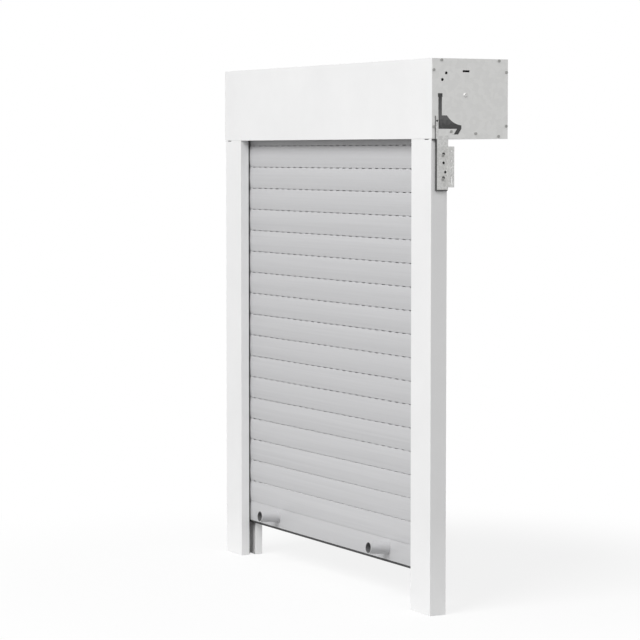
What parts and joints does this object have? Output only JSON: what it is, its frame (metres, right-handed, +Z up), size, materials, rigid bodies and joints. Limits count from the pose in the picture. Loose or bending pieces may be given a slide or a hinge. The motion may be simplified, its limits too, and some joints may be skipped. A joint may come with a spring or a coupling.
{
  "type": "exterior roller shutter",
  "caption": "Exterior roller shutter: white box and guide rails, a curtain of interlocking grey slats with stops on its bottom bar, a motor driven roller and side brackets for the wall.",
  "frame": {"origin": "middle of the four corner holes of the two wall brackets, on the wall plane", "axes": "+X to the right seen from outside, +Y from outside into the wall, +Z up"},
  "size_m": [1.264, 0.2508, 1.4],
  "materials": {
    "white_lacquer": "satin",
    "white_plastic": "matte",
    "slat_plastic": "satin",
    "bar_aluminium": "satin",
    "galvanised_sheet": "satin",
    "zinc_steel": "satin",
    "spring_steel": "satin",
    "bearing_steel": "polished",
    "cage_brass": "satin",
    "black_steel": "satin",
    "motor_core": "matte",
    "motor_plastic": "matte",
    "dark_plastic": "matte",
    "seal_rubber": "matte",
    "black_rubber": "matte"
  },
  "bodies": {
    "frame": {"front_panel": "white_lacquer", "top_panel": "white_lacquer", "rear_panel": "white_lacquer", "bottom_cover": "white_lacquer", "left_end_plate": "galvanised_sheet", "right_end_plate": "galvanised_sheet", "plate_screws": "zinc_steel", "inlet_funnels": "dark_plastic", "left_rail": "white_lacquer", "right_rail": "white_lacquer", "rail_seals": "seal_rubber", "rail_end_caps": "white_plastic", "wall_brackets": "galvanised_sheet", "bracket_pads": "black_rubber", "bracket_bolts": "zinc_steel", "bracket_screws": "black_steel", "cable_grommet": "black_rubber", "bearing_outer_ring": "bearing_steel", "bearing_holder": "zinc_steel", "motor_bracket": "zinc_steel", "motor_head": "motor_plastic", "motor_housing": "zinc_steel", "motor_stator": "motor_core", "motor_gearbox": "motor_core"},
    "curtain": {"slat_01": "slat_plastic", "slat_02": "slat_plastic", "slat_03": "slat_plastic", "slat_04": "slat_plastic", "slat_05": "slat_plastic", "slat_06": "slat_plastic", "slat_07": "slat_plastic", "slat_08": "slat_plastic", "slat_09": "slat_plastic", "slat_10": "slat_plastic", "slat_11": "slat_plastic", "slat_12": "slat_plastic", "slat_13": "slat_plastic", "slat_14": "slat_plastic", "slat_15": "slat_plastic", "slat_16": "slat_plastic", "slat_17": "slat_plastic", "slat_18": "slat_plastic", "slat_19": "slat_plastic", "bottom_bar": "bar_aluminium", "bottom_seal": "black_rubber", "end_stops": "slat_plastic", "stop_screws": "zinc_steel", "slat_end_caps": "slat_plastic", "hanger_clips": "dark_plastic", "hanger_straps": "spring_steel"},
    "roller": {"roller_tube": "galvanised_sheet", "idler_plug": "dark_plastic", "idler_pin": "zinc_steel", "bearing_inner_ring": "bearing_steel", "motor_shaft": "zinc_steel", "limit_crown": "dark_plastic", "drive_wheel": "dark_plastic"},
    "ball_set": {"bearing_balls": "bearing_steel", "bearing_cage": "cage_brass"}
  },
  "joints": [
    {"name": "curtain_lift", "type": "slide", "parent": "frame", "child": "curtain", "axis": [0, 0, 1], "range_m": [-0.094, 0.07], "deforming": ["hanger_straps"]},
    {"name": "roller_turn", "type": "hinge", "parent": "frame", "child": "roller", "pos_m": [0, 0.0508, 0.16], "axis": [-1, 0, 0], "range_deg": [-169, 126]},
    {"name": "ball_roll", "type": "hinge", "parent": "frame", "child": "ball_set", "pos_m": [0, 0.0508, 0.16], "axis": [-1, 0, 0], "range_deg": [-68, 51]}
  ],
  "couplings": [
    {"joint": "roller_turn", "follows": "curtain_lift", "rad_per_m": 31.25},
    {"joint": "ball_roll", "follows": "curtain_lift", "rad_per_m": 12.5}
  ]
}
